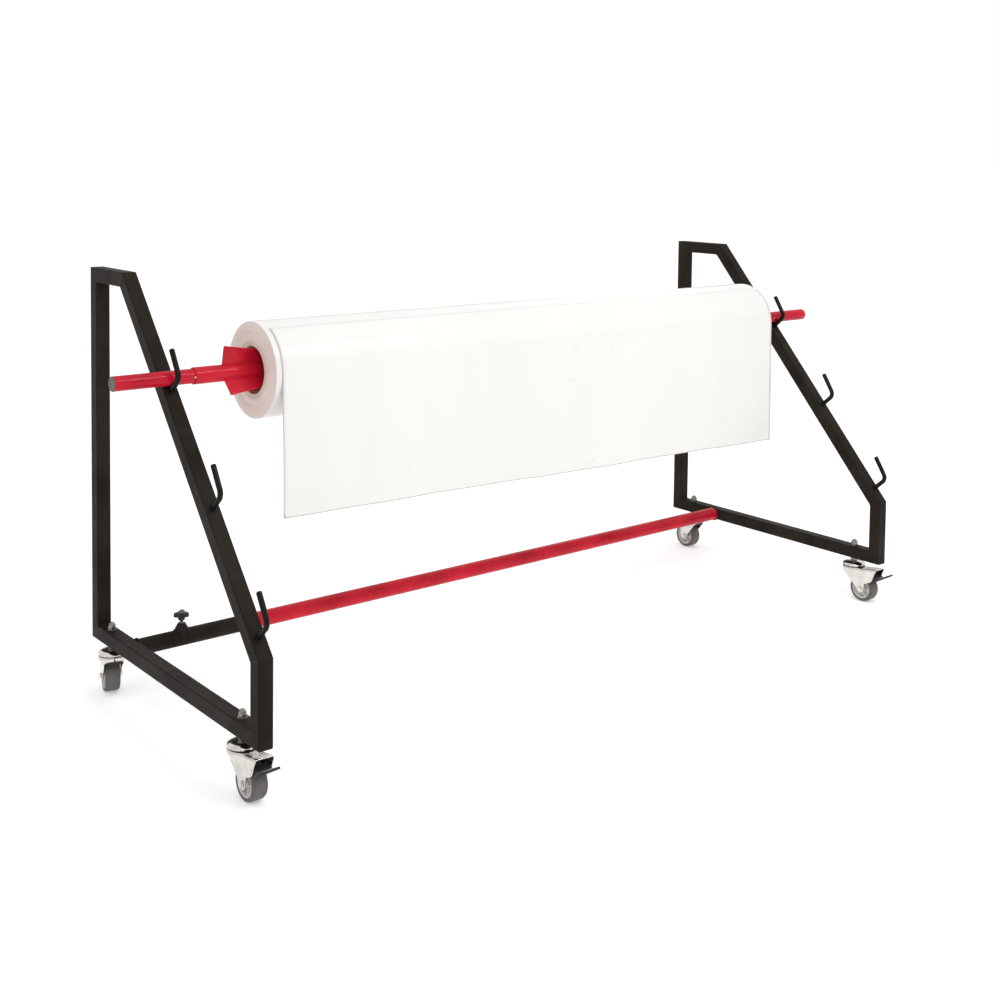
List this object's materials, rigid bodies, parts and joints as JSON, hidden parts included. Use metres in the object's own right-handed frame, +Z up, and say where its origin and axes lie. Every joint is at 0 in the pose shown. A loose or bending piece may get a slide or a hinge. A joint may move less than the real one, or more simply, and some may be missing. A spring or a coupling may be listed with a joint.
{
  "type": "film roll dispenser trolley",
  "caption": "Floor-standing dispenser on castors: sloped side frames with paired hooks hold a turning bar with a wide film roll; a telescopic clamped cross bar sets the width.",
  "frame": {"origin": "on the floor, in the middle of the footprint box", "axes": "+X along the roll bar from the clamp side to the other side, +Y towards the back of the side frames, +Z up; the free film end hangs on the -Y side"},
  "size_m": [2.66, 0.975, 1.176],
  "materials": {
    "frame_paint": "satin dark brown-black powder coat",
    "hook_paint": "semi-gloss black paint on steel rod",
    "red_paint": "gloss red powder coat",
    "zinc_plate": "bright zinc plate",
    "castor_chrome": "bright plated pressed steel",
    "knob_plastic": "black moulded plastic",
    "cap_plastic": "dark grey-brown moulded plastic",
    "core_board": "wound paper board",
    "film": "translucent warm white plastic film",
    "wheel_plastic": "light grey moulded nylon",
    "tyre_rubber": "grey thermoplastic rubber",
    "pedal_paint": "pressed steel"
  },
  "bodies": {
    "left_frame": {"left_upright": "frame_paint", "left_top_rail": "frame_paint", "left_incline": "frame_paint", "left_front_post": "frame_paint", "left_bottom_rail": "frame_paint", "left_hook_low": "hook_paint", "left_hook_mid": "hook_paint", "left_hook_top": "hook_paint", "left_castor_nuts": "zinc_plate", "crossbar_socket": "frame_paint", "clamp_nut": "frame_paint", "front_left_stem": "castor_chrome", "rear_left_stem": "castor_chrome"},
    "right_frame": {"right_upright": "frame_paint", "right_top_rail": "frame_paint", "right_incline": "frame_paint", "right_front_post": "frame_paint", "right_bottom_rail": "frame_paint", "right_hook_low": "hook_paint", "right_hook_mid": "hook_paint", "right_hook_top": "hook_paint", "right_castor_nuts": "zinc_plate", "crossbar_tube": "red_paint", "crossbar_spigot": "zinc_plate", "front_right_stem": "castor_chrome", "rear_right_stem": "castor_chrome"},
    "clamp": {"clamp_stud": "zinc_plate", "clamp_knob": "knob_plastic"},
    "bar": {"roll_bar": "red_paint", "bar_cap_left": "cap_plastic", "bar_cap_right": "cap_plastic", "stop_pins": "zinc_plate", "film_sheet": "film"},
    "roll": {"plug_sleeve_left": "red_paint", "plug_fins_left": "red_paint", "plug_sleeve_right": "red_paint", "plug_fins_right": "red_paint", "film_core": "core_board", "film_roll": "film"},
    "front_left_swivel": {"front_left_fork": "castor_chrome", "front_left_axle": "zinc_plate", "front_left_pedal_pin": "zinc_plate"},
    "front_left_roller": {"front_left_wheel": "wheel_plastic", "front_left_tyre": "tyre_rubber"},
    "front_left_brake": {"front_left_pedal": "pedal_paint"},
    "front_right_swivel": {"front_right_fork": "castor_chrome", "front_right_axle": "zinc_plate", "front_right_pedal_pin": "zinc_plate"},
    "front_right_roller": {"front_right_wheel": "wheel_plastic", "front_right_tyre": "tyre_rubber"},
    "front_right_brake": {"front_right_pedal": "pedal_paint"},
    "rear_left_swivel": {"rear_left_fork": "castor_chrome", "rear_left_axle": "zinc_plate"},
    "rear_left_roller": {"rear_left_wheel": "wheel_plastic", "rear_left_tyre": "tyre_rubber"},
    "rear_right_swivel": {"rear_right_fork": "castor_chrome", "rear_right_axle": "zinc_plate"},
    "rear_right_roller": {"rear_right_wheel": "wheel_plastic", "rear_right_tyre": "tyre_rubber"}
  },
  "joints": [
    {"name": "width_adjust", "type": "slide", "parent": "left_frame", "child": "right_frame", "axis": [1, 0, 0], "range_m": [0, 0.1]},
    {"name": "clamp_turn", "type": "hinge", "parent": "left_frame", "child": "clamp", "pos_m": [-1.023, 0.2795, 0.199], "axis": [0, 0, 1], "range_deg": [0, 720]},
    {"name": "bar_lift", "type": "slide", "parent": "left_frame", "child": "bar", "axis": [0, 0.6607, 0.7507], "range_m": [0, 0.085]},
    {"name": "roll_spin", "type": "hinge", "parent": "bar", "child": "roll", "pos_m": [0, 0.03139, 0.92672], "axis": [1, 0, 0], "continuous": true},
    {"name": "front_left_swivel_turn", "type": "hinge", "parent": "left_frame", "child": "front_left_swivel", "pos_m": [-1.173, -0.3405, 0.112], "axis": [0, 0, 1], "continuous": true},
    {"name": "front_left_wheel_spin", "type": "hinge", "parent": "front_left_swivel", "child": "front_left_roller", "pos_m": [-1.173, -0.3845, 0.044], "axis": [1, 0, 0], "continuous": true},
    {"name": "front_left_brake_press", "type": "hinge", "parent": "front_left_swivel", "child": "front_left_brake", "pos_m": [-1.173, -0.4265, 0.09], "axis": [1, 0, 0], "range_deg": [0, 14]},
    {"name": "front_right_swivel_turn", "type": "hinge", "parent": "right_frame", "child": "front_right_swivel", "pos_m": [1.173, -0.3405, 0.112], "axis": [0, 0, 1], "continuous": true},
    {"name": "front_right_wheel_spin", "type": "hinge", "parent": "front_right_swivel", "child": "front_right_roller", "pos_m": [1.173, -0.3845, 0.044], "axis": [1, 0, 0], "continuous": true},
    {"name": "front_right_brake_press", "type": "hinge", "parent": "front_right_swivel", "child": "front_right_brake", "pos_m": [1.173, -0.4265, 0.09], "axis": [1, 0, 0], "range_deg": [0, 14]},
    {"name": "rear_left_swivel_turn", "type": "hinge", "parent": "left_frame", "child": "rear_left_swivel", "pos_m": [-1.173, 0.3965, 0.112], "axis": [0, 0, 1], "continuous": true},
    {"name": "rear_left_wheel_spin", "type": "hinge", "parent": "rear_left_swivel", "child": "rear_left_roller", "pos_m": [-1.16623, 0.42367, 0.044], "axis": [0.9703, -0.2419, 0], "continuous": true},
    {"name": "rear_right_swivel_turn", "type": "hinge", "parent": "right_frame", "child": "rear_right_swivel", "pos_m": [1.173, 0.3965, 0.112], "axis": [0, 0, 1], "continuous": true},
    {"name": "rear_right_wheel_spin", "type": "hinge", "parent": "rear_right_swivel", "child": "rear_right_roller", "pos_m": [1.173, 0.4245, 0.044], "axis": [1, 0, 0], "continuous": true}
  ]
}
